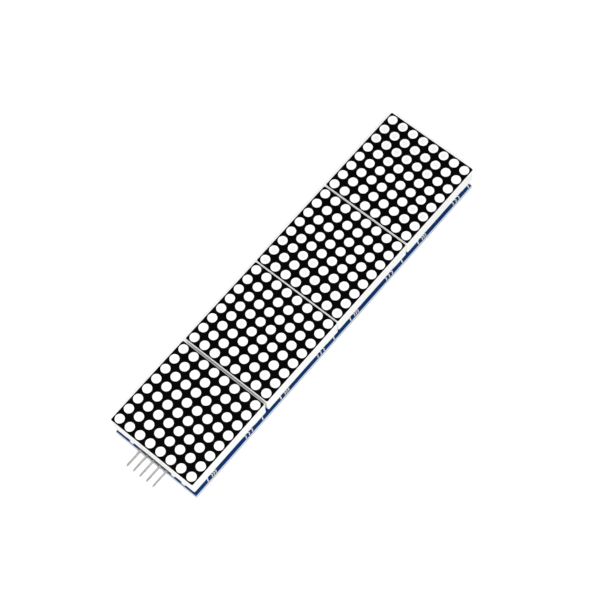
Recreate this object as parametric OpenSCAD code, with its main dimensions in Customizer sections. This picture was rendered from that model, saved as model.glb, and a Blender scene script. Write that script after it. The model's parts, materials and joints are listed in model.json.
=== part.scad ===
// Four-section LED dot matrix module.
// Four 8 x 8 dot displays plug into round-pin socket strips on one long circuit board, with a
// driver chip under each display and a right-angle pin header at the input end.
// Origin: centre of the board on its back face. +X runs from the input end to the output end,
// +Y across the board, +Z out through the display faces.

/* [Main board] */
// Gaps between neighbouring displays, from the input end
display_gaps = [0.7, 0.2, 0.3]; // [0.1:0.05:1.5]
// Shift along Y of each display from the board's centre line
section_shift_y = [0.1, 0, 0.1, 0.1]; // [-0.4:0.05:0.4]
// How far the board reaches past the first display, at the input end
input_margin = 0.05; // [0:0.05:1]
// How far the last display overhangs the board, at the output end
output_overhang = 0.45; // [0:0.05:1]
// Width of the board
board_w = 31.9; // [31:0.1:36]
// Thickness of the board
board_t = 1.6; // [1:0.1:2]
// Diameter of the fixing holes
fixing_hole_d = 3; // [2:0.1:3.2]
// Distance between the fixing holes of one section, both ways
fixing_hole_span = 26; // [25.5:0.1:26.5]

/* [Display] */
// Side of the square housing
display_w = 32.1; // [31.6:0.1:36]
// Height of the housing with its corner feet and face film
display_h = 6.3; // [6.2:0.1:7.8]
// Height of the corner feet below the side walls
foot_h = 0.3; // [0.1:0.1:1.2]
// Length of each corner foot along the wall
foot_l = 5.5; // [2:0.5:9]
// Thickness of the housing's side walls
housing_wall = 0.9; // [0.6:0.1:1.2]
// Radius of the housing's upright corners
housing_corner_r = 0.4; // [0.2:0.05:1]
// Thickness of the reflector block that the cavities pass through
reflector_t = 4.4; // [3:0.1:5]
// Thickness of the black face film
film_t = 0.1; // [0.05:0.01:0.3]
// Width of the white rim left around the face film
film_margin = 0.15; // [0.05:0.05:0.3]
// Depth of the resin below the face
resin_recess = 0.03; // [0.01:0.01:0.1]

/* [Dots] */
// Distance between neighbouring dots
dot_pitch = 4; // [3.6:0.05:4.2]
// Diameter of a dot at the face
dot_d = 3; // [2.4:0.1:3.4]
// Diameter of a cavity at its floor
cavity_floor_d = 2; // [1.2:0.1:2.3]
// Side of a light-emitting die
die_w = 0.36; // [0.2:0.02:0.6]
// Height of a die
die_h = 0.25; // [0.1:0.05:0.4]
// Thickness of the inner board that carries the dies
led_board_t = 1.2; // [0.8:0.1:1.4]
// Thickness of the resin between the inner board and the reflector block
bond_layer = 0.2; // [0.1:0.05:0.4]

/* [Display pins and sockets] */
// Distance between neighbouring pins of a row, on sockets and headers
pin_pitch = 2.54; // [2.54:0.01:2.6]
// Distance between the two pin rows of a display
row_span = 24; // [22:0.1:24.4]
// Diameter of a display pin
display_pin_d = 0.5; // [0.4:0.02:0.56]
// Length of a display pin below the display's back
display_pin_l = 3.2; // [2.4:0.1:3.4]
// Height of a socket above the board
socket_h = 4.1; // [3.9:0.1:5]
// Height of a socket strip's moulding
strip_h = 2.8; // [2.2:0.1:3.2]
// Width of a socket strip
strip_w = 2.54; // [2.3:0.02:2.8]
// Depth of the notches between a strip's positions
strip_notch = 0.45; // [0.2:0.05:0.6]
// Outer diameter of a turned contact
contact_d = 1.5; // [1.3:0.05:1.7]
// Inner diameter of a turned contact above and below its spring throat
contact_bore_d = 0.75; // [0.64:0.01:0.9]
// Depth of a turned contact's bore
contact_bore_l = 3.5; // [3.45:0.05:3.7]
// Diameter of a contact's solder tail
tail_d = 0.5; // [0.4:0.02:0.6]
// Length of a solder tail below the board
tail_l = 1; // [0.6:0.1:1.2]
// Diameter of the plated holes for the sockets
socket_hole_d = 0.9; // [0.8:0.05:1.1]

/* [Input header] */
// Number of pins of the input header, and of holes at the output end
header_pins = 5; // [5:1:5]
// Sideways place of the input header and the output holes
header_y = 0.6; // [-1:0.1:1]
// Distance from the board's end to the header's holes, at both ends
header_hole_inset = 4.1; // [3.9:0.1:4.6]
// Side of a square header pin
header_pin_w = 0.64; // [0.5:0.02:0.66]
// Reach of the header pins beyond the board's end
header_reach = 6.1; // [5:0.1:8]
// Distance the header's moulding stands back from the board's end
header_setback = 0.3; // [0:0.05:0.4]
// Radius of the bend inside a header pin
header_bend_r = 0.4; // [0.2:0.05:0.6]
// Length of the tapered tip of a header pin
header_tip_l = 0.5; // [0.2:0.1:1]
// Depth of the header's moulding along its pins
header_body_l = 2.5; // [2:0.1:2.6]
// Height and row width of the header's moulding
header_body_h = 2.5; // [2.3:0.05:2.54]
// Depth of the notches between the header's positions
header_notch = 0.6; // [0.3:0.05:0.7]
// Diameter of the plated holes for the header
header_hole_d = 1; // [0.95:0.01:1.1]

/* [Solder joints] */
// Diameter of a solder joint at the board's back
solder_d = 1.8; // [1.4:0.05:2]
// Diameter of a solder joint at the shoulder of its end
solder_tip_d = 1; // [0.95:0.05:1.2]
// Height of a solder joint below the board
solder_h = 1.4; // [1.3:0.05:1.6]

/* [Driver chip] */
// Number of leads of the driver chip
driver_lead_count = 24; // [16:2:24]
// Length of the driver chip's moulding
driver_l = 15.4; // [15:0.1:16]
// Width of the driver chip's moulding
driver_w = 7.5; // [7:0.1:8]
// Height of the driver chip's moulding
driver_h = 2.35; // [1.8:0.05:2.5]
// Gap between the driver chip's moulding and the board
driver_standoff = 0.2; // [0.1:0.05:0.4]
// Distance between neighbouring leads
driver_lead_pitch = 1.27; // [1.2:0.01:1.27]
// Distance across the tips of the leads
driver_span = 10.3; // [10:0.1:11]
// Width of a lead
driver_lead_w = 0.42; // [0.3:0.02:0.5]
// Thickness of a lead
driver_lead_t = 0.25; // [0.15:0.01:0.3]
// Length of a lead's foot on the board
driver_foot_l = 0.85; // [0.5:0.05:0.9]
// Draw taper of the moulding's sides, as an inset at its top and bottom
driver_taper = 0.18; // [0.05:0.01:0.25]

/* [Chip capacitors and resistors] */
// Length, width and height of the bulk capacitor
bulk_cap = [3.2, 1.6, 1.6]; // [1.2:0.1:3.4]
// Length, width and height of the bypass capacitor
bypass_cap = [2, 1.25, 0.9]; // [0.6:0.05:2.4]
// Length, width and height of the current-setting resistor
set_resistor = [2, 1.25, 0.55]; // [0.4:0.05:2.4]
// Thickness of the metal on a chip part's ends
terminal_t = 0.05; // [0.03:0.01:0.1]
// Length of the metal on a chip part's ends
terminal_l = 0.45; // [0.3:0.05:0.5]
// Distance of the chip parts from the section's centre line
chip_row_y = 8; // [7.8:0.1:8.4]

/* [Hidden] */
$fn = 48;
eps = 0.01;
SECTION_COUNT = 4;
DOTS = 8;
ROW_PINS = 8;
// the length of the spring throat that closes on a pin, and where it starts below the mouth
throat_l = 0.5;
throat_top = 1.2;
mouth_l = 0.4;
mouth_d = contact_d - 0.2;
// how far a display pin's end stands above the inner board, in the resin
pin_head_h = bond_layer / 2;
// the gap that lets the inner board drop into the housing
led_board_gap = 0.1;
// how far the dimple and the pin-one mark sink into the driver's moulding
dimple_depth = 0.12;
dimple_d = 1.2;
dimple_inset = 1.3;

row_l = SECTION_COUNT * display_w + sum_of(display_gaps, SECTION_COUNT - 1);
board_l = row_l + input_margin - output_overhang;
// the fixing holes keep one even pitch, whatever the gaps
even_pitch = (row_l - display_w) / (SECTION_COUNT - 1);
seat_z = board_t + socket_h;
led_top_z = seat_z + led_board_t;
reflector_z = led_top_z + bond_layer;
housing_top_z = reflector_z + reflector_t;
face_z = housing_top_z + film_t;
feet_z = face_z - display_h;
inner_w = display_w - 2 * housing_wall;
header_row_z = board_t + header_body_h / 2;
header_hole_x = board_l / 2 - header_hole_inset;

SECTION_NODES = [
    "housing_", "face_film_", "resin_", "led_board_", "led_dies_", "display_pins_",
    "socket_strips_", "socket_contacts_", "socket_solder_", "driver_chip_", "driver_leads_"
];

// ---- where things go ----

// the sum of a list's first few entries
function sum_of(list, count) = count == 0 ? 0 : list[count - 1] + sum_of(list, count - 1);
function section_x(n) =
    -board_l / 2 + input_margin + (n - 1 / 2) * display_w + sum_of(display_gaps, n - 1);
function section_y(n) = section_shift_y[n - 1];
// places of a row of equal steps, centred on zero
function row(count, pitch) = [for (i = [0 : count - 1]) (i - (count - 1) / 2) * pitch];

module at_section(n) {
    translate([section_x(n), section_y(n), 0]) children();
}

module at_sections() {
    for (n = [1 : SECTION_COUNT]) at_section(n) children();
}

module at_dots() {
    for (x = row(DOTS, dot_pitch), y = row(DOTS, dot_pitch)) translate([x, y, 0]) children();
}

module at_socket_rows() {
    for (side = [-1, 1]) translate([0, side * row_span / 2, 0]) children();
}

module at_display_pins() {
    at_socket_rows() for (x = row(ROW_PINS, pin_pitch)) translate([x, 0, 0]) children();
}

module at_header_row() {
    for (y = row(header_pins, pin_pitch)) translate([0, header_y + y, 0]) children();
}

module at_fixing_holes() {
    for (n = [1 : SECTION_COUNT], x = [-1, 1], y = [-1, 1])
        translate([
            (n - (SECTION_COUNT + 1) / 2) * even_pitch + x * fixing_hole_span / 2,
            y * fixing_hole_span / 2, 0
        ]) children();
}

// ---- shapes that more than one piece uses ----

module centred_slab(x, y, z) {
    translate([-x / 2, -y / 2, 0]) cube([x, y, z]);
}

// a square slab with round upright corners
module rounded_slab(w, r, h) {
    centred_slab(w - 2 * r, w, h);
    centred_slab(w, w - 2 * r, h);
    for (x = [-1, 1], y = [-1, 1])
        translate([x * (w / 2 - r), y * (w / 2 - r), 0]) cylinder(h = h, r = r);
}

// one strip position seen along the row: a rectangle whose ends are chamfered into notches
module notched_cell(pitch, w, notch) {
    polygon([
        [-pitch / 2, -w / 2 + notch], [-pitch / 2 + notch, -w / 2],
        [pitch / 2 - notch, -w / 2], [pitch / 2, -w / 2 + notch],
        [pitch / 2, w / 2 - notch], [pitch / 2 - notch, w / 2],
        [-pitch / 2 + notch, w / 2], [-pitch / 2, w / 2 - notch]
    ]);
}

module notched_strip(count, pitch, w, notch) {
    for (x = row(count, pitch)) translate([x, 0]) notched_cell(pitch, w, notch);
}

// ---- board ----

module main_board() {
    color("#0b2f5e")
    difference() {
        centred_slab(board_l, board_w, board_t);
        translate([0, 0, -eps]) {
            at_fixing_holes() cylinder(h = board_t + 2 * eps, d = fixing_hole_d);
            at_sections() at_display_pins()
                cylinder(h = board_t + 2 * eps, d = socket_hole_d);
            for (x = [-1, 1]) translate([x * header_hole_x, 0, 0]) at_header_row()
                cylinder(h = board_t + 2 * eps, d = header_hole_d);
        }
    }
}

// ---- input header ----

module header_body() {
    color("#161616")
    difference() {
        translate([-board_l / 2 + header_setback, header_y, header_row_z])
            rotate([90, 0, 90])
            linear_extrude(header_body_l)
            notched_strip(header_pins, pin_pitch, header_body_h, header_notch);
        translate([
            -board_l / 2 + header_setback + header_body_l / 2, 0,
            header_row_z - header_pin_w / 2
        ])
            at_header_row() centred_slab(header_body_l + 2 * eps, header_pin_w, header_pin_w);
    }
}

// side view of a bent pin: out along -X, round the bend and down through the board
module header_pin_side() {
    half = header_pin_w / 2;
    bend_x = -header_hole_x - half - header_bend_r;
    bend_z = header_row_z - half - header_bend_r;
    outer_r = header_bend_r + header_pin_w;
    tip_x = -board_l / 2 - header_reach;
    tip_half = half / 2;
    // straight run with its tapered tip
    polygon([
        [bend_x, header_row_z + half], [tip_x + header_tip_l, header_row_z + half],
        [tip_x, header_row_z + tip_half], [tip_x, header_row_z - tip_half],
        [tip_x + header_tip_l, header_row_z - half], [bend_x, header_row_z - half]
    ]);
    // quarter bend
    intersection() {
        translate([bend_x, bend_z]) difference() {
            circle(r = outer_r);
            circle(r = header_bend_r);
        }
        translate([bend_x, bend_z]) square([outer_r, outer_r]);
    }
    // leg through the board
    translate([-header_hole_x - half, -tail_l]) square([header_pin_w, bend_z + tail_l]);
}

module header_pins() {
    half = header_pin_w / 2;
    tip_x = -board_l / 2 - header_reach;
    reach = header_hole_x + header_pin_w;
    color("#c9c9c6")
    at_header_row()
    intersection() {
        translate([0, half, 0]) rotate([90, 0, 0])
            linear_extrude(header_pin_w) header_pin_side();
        // plan view, which tapers the tip's other two sides
        translate([0, 0, -tail_l - eps])
            linear_extrude(tail_l + header_row_z + header_pin_w)
            polygon([
                [tip_x, -half / 2], [tip_x + header_tip_l, -half], [reach, -half],
                [reach, half], [tip_x + header_tip_l, half], [tip_x, half / 2]
            ]);
    }
}

module header_solder() {
    color("#b9bcc0")
    translate([-header_hole_x, 0, 0]) at_header_row()
    difference() {
        solder_joint(header_hole_d);
        translate([0, 0, -tail_l])
            centred_slab(header_pin_w, header_pin_w, board_t + tail_l + eps);
    }
}

// a fillet of solder that narrows to a small flat end, with the plated hole filled
module solder_joint(hole_d) {
    steps = 5;
    rotate_extrude() polygon(concat(
        [[0, board_t], [hole_d / 2, board_t], [hole_d / 2, 0]],
        [for (i = [0 : steps]) fillet_point(i / steps)],
        [[solder_tip_d / 4, -solder_h], [0, -solder_h]]
    ));
}

// a point on the side of a fillet, from its foot at t = 0 to its shoulder at t = 1
function fillet_point(t) = [
    solder_tip_d / 2 + (solder_d - solder_tip_d) / 2 * pow(1 - t, 2),
    -(solder_h - solder_tip_d / 4) * t
];

// ---- display ----

module housing(n) {
    cut_w = display_w + 2 * eps;
    color("#f4f4f1")
    at_section(n)
    difference() {
        translate([0, 0, feet_z])
            rounded_slab(display_w, housing_corner_r, housing_top_z - feet_z);
        // the space for the inner board
        translate([0, 0, feet_z - eps])
            centred_slab(inner_w, inner_w, reflector_z - feet_z + eps);
        // the walls stop short between the corner feet
        translate([0, 0, feet_z - eps]) {
            centred_slab(display_w - 2 * foot_l, cut_w, foot_h + eps);
            centred_slab(cut_w, display_w - 2 * foot_l, foot_h + eps);
        }
        at_dots() translate([0, 0, reflector_z]) cavity();
    }
}

// the conical cup round one dot, from the reflector block's back to its front
module cavity() {
    cylinder(h = reflector_t, d1 = cavity_floor_d, d2 = dot_d);
}

module face_film(n) {
    film_w = display_w - 2 * film_margin;
    color("#0c0c0d")
    at_section(n)
    difference() {
        translate([0, 0, housing_top_z])
            rounded_slab(film_w, housing_corner_r, film_t);
        at_dots() translate([0, 0, housing_top_z - eps])
            cylinder(h = film_t + 2 * eps, d = dot_d);
    }
}

module resin(n) {
    color("#fbfbf8")
    at_section(n)
    difference() {
        union() {
            translate([0, 0, led_top_z]) centred_slab(inner_w, inner_w, bond_layer);
            at_dots() {
                translate([0, 0, reflector_z]) cavity();
                translate([0, 0, housing_top_z])
                    cylinder(h = film_t - resin_recess, d = dot_d);
            }
        }
        at_dots() die_block();
        at_display_pins() translate([0, 0, led_top_z - eps])
            cylinder(h = pin_head_h + eps, d = display_pin_d);
    }
}

module die_block() {
    translate([0, 0, led_top_z]) centred_slab(die_w, die_w, die_h);
}

module led_dies(n) {
    color("#d8b23c")
    at_section(n) at_dots() die_block();
}

module led_board(n) {
    led_board_w = inner_w - 2 * led_board_gap;
    color("#d9d2a6")
    at_section(n)
    difference() {
        translate([0, 0, seat_z]) centred_slab(led_board_w, led_board_w, led_board_t);
        at_display_pins() translate([0, 0, seat_z - eps])
            cylinder(h = led_board_t + 2 * eps, d = display_pin_d);
    }
}

module display_pins(n) {
    color("#d4d4d0")
    at_section(n) at_display_pins()
    translate([0, 0, seat_z - display_pin_l])
        cylinder(h = display_pin_l + led_board_t + pin_head_h, d = display_pin_d);
}

// ---- sockets ----

module socket_strips(n) {
    color("#1b1b1c")
    at_section(n)
    difference() {
        at_socket_rows() translate([0, 0, seat_z - strip_h])
            linear_extrude(strip_h) notched_strip(ROW_PINS, pin_pitch, strip_w, strip_notch);
        at_display_pins() translate([0, 0, seat_z - strip_h - eps])
            cylinder(h = strip_h + 2 * eps, d = contact_d);
    }
}

// a turned contact: shoulder on the board, tail through it, bored from the top
module socket_contact() {
    tail_r = tail_d / 2;
    contact_r = contact_d / 2;
    bore_r = contact_bore_d / 2;
    pin_r = display_pin_d / 2;
    mouth_r = mouth_d / 2;
    throat_z = seat_z - throat_top;
    rotate_extrude() polygon([
        [0, -tail_l], [tail_r, -tail_l], [tail_r, board_t], [contact_r, board_t],
        [contact_r, seat_z], [mouth_r, seat_z], [bore_r, seat_z - mouth_l],
        [bore_r, throat_z], [pin_r, throat_z - throat_l / 4],
        [pin_r, throat_z - throat_l * 3 / 4], [bore_r, throat_z - throat_l],
        [bore_r, seat_z - contact_bore_l], [0, seat_z - contact_bore_l]
    ]);
}

module socket_contacts(n) {
    color("#c8a24a")
    at_section(n) at_display_pins() socket_contact();
}

module socket_solder(n) {
    color("#b9bcc0")
    at_section(n) at_display_pins()
    difference() {
        solder_joint(socket_hole_d);
        translate([0, 0, -tail_l]) cylinder(h = board_t + tail_l + eps, d = tail_d);
    }
}

// ---- driver chip ----

// the moulding seen end on: widest at the middle, where the leads come out
module tapered_side(w, h, taper) {
    polygon([
        [-w / 2 + taper, 0], [w / 2 - taper, 0], [w / 2, h / 2],
        [w / 2 - taper, h], [-w / 2 + taper, h], [-w / 2, h / 2]
    ]);
}

module driver_chip(n) {
    color("#232324")
    at_section(n)
    translate([0, 0, board_t + driver_standoff])
    difference() {
        intersection() {
            translate([-driver_l / 2, 0, 0]) rotate([90, 0, 90])
                linear_extrude(driver_l) tapered_side(driver_w, driver_h, driver_taper);
            translate([0, driver_w / 2, 0]) rotate([90, 0, 0])
                linear_extrude(driver_w) tapered_side(driver_l, driver_h, driver_taper);
        }
        translate([-driver_l / 2 + dimple_inset, -driver_w / 2 + dimple_inset,
                   driver_h - dimple_depth])
            cylinder(h = dimple_depth + eps, d = dimple_d);
    }
}

// one gull-wing lead seen from the side, from the moulding out to the foot's end
module lead_side() {
    root_y = driver_w / 2;
    tip_y = driver_span / 2;
    shoulder_z = driver_standoff + (driver_h + driver_lead_t) / 2;
    heel_y = tip_y - driver_foot_l;
    knee_y = (root_y + heel_y) / 2;
    polygon([
        [root_y, shoulder_z - driver_lead_t], [knee_y, shoulder_z - driver_lead_t],
        [heel_y, 0], [tip_y, 0], [tip_y, driver_lead_t],
        [heel_y + driver_lead_t, driver_lead_t], [knee_y + driver_lead_t, shoulder_z],
        [root_y, shoulder_z]
    ]);
}

module driver_leads(n) {
    color("#c4c6c8")
    at_section(n)
    for (side = [0, 180], x = row(driver_lead_count / 2, driver_lead_pitch))
        rotate([0, 0, side])
        translate([x - driver_lead_w / 2, 0, board_t])
        rotate([90, 0, 90])
        linear_extrude(driver_lead_w) lead_side();
}

// ---- chip parts ----

module chip_core(size) {
    centred_slab(size.x - 2 * terminal_t, size.y - 2 * terminal_t, size.z - 2 * terminal_t);
}

module chip_ends(size) {
    difference() {
        centred_slab(size.x, size.y, size.z);
        translate([0, 0, -eps])
            centred_slab(size.x - 2 * terminal_l, size.y + 2 * eps, size.z + 2 * eps);
        translate([0, 0, terminal_t]) chip_core(size);
    }
}

module at_bulk_capacitors() {
    at_sections() translate([-bulk_cap.x, chip_row_y, board_t]) children();
}

module at_bypass_capacitors() {
    at_sections() translate([bypass_cap.x, chip_row_y, board_t]) children();
}

module at_set_resistors() {
    at_sections() translate([0, -chip_row_y, board_t]) children();
}

module bulk_capacitors() {
    color("#9c7a52")
    at_bulk_capacitors() translate([0, 0, terminal_t]) chip_core(bulk_cap);
}

module bulk_capacitor_ends() {
    color("#c4c6c8")
    at_bulk_capacitors() chip_ends(bulk_cap);
}

module bypass_capacitors() {
    color("#b08c60")
    at_bypass_capacitors() translate([0, 0, terminal_t]) chip_core(bypass_cap);
}

module bypass_capacitor_ends() {
    color("#c4c6c8")
    at_bypass_capacitors() chip_ends(bypass_cap);
}

module set_resistors() {
    color("#1e1e20")
    at_set_resistors() translate([0, 0, terminal_t]) chip_core(set_resistor);
}

module set_resistor_ends() {
    color("#c4c6c8")
    at_set_resistors() chip_ends(set_resistor);
}

main_board();
header_body();
header_pins();
header_solder();
bulk_capacitors();
bulk_capacitor_ends();
bypass_capacitors();
bypass_capacitor_ends();
set_resistors();
set_resistor_ends();
for (n = [1 : SECTION_COUNT]) {
    housing(n);
    face_film(n);
    resin(n);
    led_board(n);
    led_dies(n);
    display_pins(n);
    socket_strips(n);
    socket_contacts(n);
    socket_solder(n);
    driver_chip(n);
    driver_leads(n);
}
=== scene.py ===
# %% [markdown]
# # An LED dot matrix module, dressed for its picture
#
# The object is a row of four square LED displays plugged into one long blue circuit board. Each
# display shows 64 white dots on a black face. The solid parts come from a CAD model, already in
# place and at their real size. This notebook gives each of them its finish, adds the small things
# that CAD leaves out, such as the white print, the copper under the blue lacquer and the solder at
# the chips, and sets up the camera and a plain studio.
#
# The first cell loads the frame. Every CAD part is a Blender object at the origin whose place is in
# its mesh, so nothing is ever moved. The box of the whole model is kept and printed.

# %% Load the frame
import json
import math
import bmesh
import bpy
from mathutils import Matrix, Quaternion, Vector


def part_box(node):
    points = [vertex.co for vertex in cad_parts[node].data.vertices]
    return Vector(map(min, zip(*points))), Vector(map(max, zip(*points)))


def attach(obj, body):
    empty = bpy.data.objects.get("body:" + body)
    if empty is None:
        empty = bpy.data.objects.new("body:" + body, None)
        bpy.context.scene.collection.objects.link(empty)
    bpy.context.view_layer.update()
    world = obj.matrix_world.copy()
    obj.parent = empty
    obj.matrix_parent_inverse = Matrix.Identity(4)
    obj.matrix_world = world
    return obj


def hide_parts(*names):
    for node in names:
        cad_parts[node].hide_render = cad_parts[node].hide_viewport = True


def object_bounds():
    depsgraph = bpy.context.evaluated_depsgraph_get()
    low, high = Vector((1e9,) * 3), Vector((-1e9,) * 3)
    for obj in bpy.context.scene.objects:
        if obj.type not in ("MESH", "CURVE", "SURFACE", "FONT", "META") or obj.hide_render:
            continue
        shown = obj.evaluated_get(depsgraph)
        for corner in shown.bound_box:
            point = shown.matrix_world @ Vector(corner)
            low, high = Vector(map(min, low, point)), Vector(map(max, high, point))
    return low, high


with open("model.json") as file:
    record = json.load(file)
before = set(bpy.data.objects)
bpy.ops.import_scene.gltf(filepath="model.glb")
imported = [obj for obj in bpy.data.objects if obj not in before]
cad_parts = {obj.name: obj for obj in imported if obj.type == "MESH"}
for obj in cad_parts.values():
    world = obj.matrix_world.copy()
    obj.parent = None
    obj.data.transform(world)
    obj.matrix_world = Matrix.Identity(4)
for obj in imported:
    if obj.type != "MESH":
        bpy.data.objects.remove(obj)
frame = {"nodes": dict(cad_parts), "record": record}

CAD_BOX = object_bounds()
NODES = frame["nodes"]
SLOT_OF = {part["node"]: part["material_slot"] for part in frame["record"]["subparts"]}
MM = 0.001
SECTIONS = [1, 2, 3, 4]

print(len(NODES), "CAD parts; the model's box in mm:",
      [round(v / MM, 2) for corner in CAD_BOX for v in corner])

# %% [markdown]
# ## Measures taken from the parts
#
# A scene that repeats the CAD's sizes as bare numbers goes wrong as soon as the CAD changes. So the
# few measures that the later cells need are read from the boxes of the parts: where the board's
# faces are, where the centre of each display is, and how far apart the pins and the leads are.

# %% Read the driving measures


def node_centre(name):
    low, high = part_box(name)
    return (low + high) / 2


def node_size(name):
    low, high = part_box(name)
    return high - low


BOARD_SIZE = node_size("main_board")
BOARD_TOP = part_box("main_board")[1].z
BOARD_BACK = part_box("main_board")[0].z
FACE_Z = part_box("face_film_1")[1].z
FLOOR_Z = CAD_BOX[0][2]
CENTRES = {n: node_centre(f"housing_{n}") for n in SECTIONS}
HOUSING_W = node_size("housing_1").x

print("board top", round(BOARD_TOP / MM, 2), "mm, faces", round(FACE_Z / MM, 2), "mm")
print("display centres along X in mm:", [round(CENTRES[n].x / MM, 2) for n in SECTIONS])

# %% [markdown]
# The pins of a display stand in two rows of eight, 2.54 mm apart. Their row's outer size, less one
# pin's thickness, divided by seven steps, gives the step back, and the same rule gives the steps of
# the chip's leads and of the header. The dots are eight to a row too.

# %% Work out the repeating steps
ROW_PINS = 8
DOTS = 8
HEADER_PINS = 5
LEADS = 12
PIN_D = 0.5 * MM
DOT_D = 3.0 * MM
LEAD_W = 0.42 * MM
HEADER_PIN_W = 0.64 * MM
CONTACT_D = 1.5 * MM
SOLDER_D = 1.8 * MM
DIE_W = 0.36 * MM

pin_row = node_size("display_pins_1")
PIN_STEP = (pin_row.x - PIN_D) / (ROW_PINS - 1)
ROW_SPAN = pin_row.y - PIN_D
DOT_STEP = (node_size("led_dies_1").x - DIE_W) / (DOTS - 1)
LEAD_STEP = (node_size("driver_leads_1").x - LEAD_W) / (LEADS - 1)
LEAD_SPAN = node_size("driver_leads_1").y
HEADER_STEP = (node_size("header_pins").y - HEADER_PIN_W) / (HEADER_PINS - 1)
HEADER_Y = node_centre("header_pins").y
HEADER_X = node_centre("header_solder").x


def steps(count, pitch):
    """Places of a row of equal steps, centred on zero."""
    return [(i - (count - 1) / 2) * pitch for i in range(count)]


print("steps in mm: pins", round(PIN_STEP / MM, 3), "dots", round(DOT_STEP / MM, 3),
      "leads", round(LEAD_STEP / MM, 3), "header", round(HEADER_STEP / MM, 3))

# %% [markdown]
# ## Camera
#
# A product shot like this one is taken with a long lens from well above one corner. A long lens
# keeps the far display nearly as large as the near one. The camera is set by a point that it looks
# at, a distance, two angles and a small roll, because those five are easier to think about than a
# position and a rotation matrix.

# %% Place the camera


def add_camera(target, distance, azimuth, elevation, roll, lens):
    a, e = math.radians(azimuth), math.radians(elevation)
    forward = Vector((-math.sin(a) * math.cos(e), math.cos(a) * math.cos(e), -math.sin(e)))
    camera = bpy.data.objects.new("camera", bpy.data.cameras.new("camera"))
    bpy.context.scene.collection.objects.link(camera)
    turn = forward.to_track_quat("-Z", "Y") @ Quaternion((0, 0, 1), math.radians(roll))
    camera.matrix_world = Matrix.Translation(target - forward * distance) @ turn.to_matrix().to_4x4()
    camera.data.lens = lens
    camera.data.sensor_width = 36
    camera.data.clip_start = 0.01
    camera.data.dof.use_dof = False
    bpy.context.scene.camera = camera
    return camera


CAMERA = add_camera(
    target=Vector((-1.02, -2.58, 11.6)) * MM, distance=0.5604,
    azimuth=-41.79, elevation=66.29, roll=-8.71, lens=113.45,
)
print("camera at", [round(v, 4) for v in CAMERA.matrix_world.translation])

# %% [markdown]
# ## Studio
#
# White things on a white ground need quiet light: one broad lamp near the camera, which sees into
# the gaps that the camera sees into, and a dim even sky that fills the shadows. The lamp stands
# where the black faces don't mirror it into the lens, which keeps them black.
#
# The floor is plain and pale. To the camera alone it glows a little, so that it reads as paper
# white without any more light on the object, and it still takes the object's shadow.

# %% Light the scene
scene = bpy.context.scene
scene.view_settings.view_transform = "Standard"


def add_area(name, place, size, power):
    data = bpy.data.lights.new(name, "AREA")
    data.shape = "DISK"
    data.size = size
    data.energy = power
    lamp = bpy.data.objects.new(name, data)
    scene.collection.objects.link(lamp)
    turn = (-Vector(place)).to_track_quat("-Z", "Y")
    lamp.matrix_world = Matrix.Translation(Vector(place)) @ turn.to_matrix().to_4x4()
    return lamp


def build_world(sky_strength):
    world = bpy.data.worlds.new("studio")
    scene.world = world
    world.use_nodes = True
    nodes, links = world.node_tree.nodes, world.node_tree.links
    nodes.clear()
    out = nodes.new("ShaderNodeOutputWorld")
    path = nodes.new("ShaderNodeLightPath")
    sky = nodes.new("ShaderNodeBackground")
    seen = nodes.new("ShaderNodeBackground")
    mix = nodes.new("ShaderNodeMixShader")
    sky.inputs["Color"].default_value = (1, 1, 1, 1)
    sky.inputs["Strength"].default_value = sky_strength
    seen.inputs["Color"].default_value = (1, 1, 1, 1)
    links.new(path.outputs["Is Camera Ray"], mix.inputs["Fac"])
    links.new(sky.outputs[0], mix.inputs[1])
    links.new(seen.outputs[0], mix.inputs[2])
    links.new(mix.outputs[0], out.inputs["Surface"])


def build_floor(half, paper, glow):
    mesh = bpy.data.meshes.new("floor")
    corners = [(x * half, y * half, FLOOR_Z) for x, y in ((-1, -1), (1, -1), (1, 1), (-1, 1))]
    mesh.from_pydata(corners, [], [(0, 1, 2, 3)])
    floor = bpy.data.objects.new("floor", mesh)
    scene.collection.objects.link(floor)
    material = bpy.data.materials.new("paper")
    material.use_nodes = True
    nodes, links = material.node_tree.nodes, material.node_tree.links
    nodes.clear()
    out = nodes.new("ShaderNodeOutputMaterial")
    diffuse = nodes.new("ShaderNodeBsdfDiffuse")
    diffuse.inputs["Color"].default_value = (paper, paper, paper, 1)
    light = nodes.new("ShaderNodeEmission")
    path = nodes.new("ShaderNodeLightPath")
    scale = nodes.new("ShaderNodeMath")
    scale.operation = "MULTIPLY"
    scale.inputs[1].default_value = glow
    both = nodes.new("ShaderNodeAddShader")
    links.new(path.outputs["Is Camera Ray"], scale.inputs[0])
    links.new(scale.outputs[0], light.inputs["Strength"])
    links.new(diffuse.outputs[0], both.inputs[0])
    links.new(light.outputs[0], both.inputs[1])
    links.new(both.outputs[0], out.inputs["Surface"])
    mesh.materials.append(material)


build_world(sky_strength=0.30)
build_floor(half=3.0, paper=0.82, glow=0.40)
add_area("key", (-0.44, -0.44, 1.00), size=0.5, power=16.9)

# %% [markdown]
# ## Building shaders from short pieces
#
# A finish is a small graph of nodes. Writing each node out in full hides what the graph does, so
# this cell holds a few one-purpose helpers: feed a socket with a link or a plain value, do one sum,
# blend two colours, turn a range into a soft mask, and read a noise. Every pattern is laid out on
# object coordinates in millimetres, so that a scale in a material is a size that can be measured.

# %% Small helpers for node graphs


def feed(tree, value, socket):
    """Links a socket to another one, or sets it to a plain value."""
    if isinstance(value, bpy.types.NodeSocket):
        tree.links.new(value, socket)
    else:
        socket.default_value = value


def sum_node(tree, operation, first, second=None, kind="ShaderNodeMath"):
    node = tree.nodes.new(kind)
    node.operation = operation
    feed(tree, first, node.inputs[0])
    if second is not None:
        feed(tree, second, node.inputs[1])
    return node.outputs[0]


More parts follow.
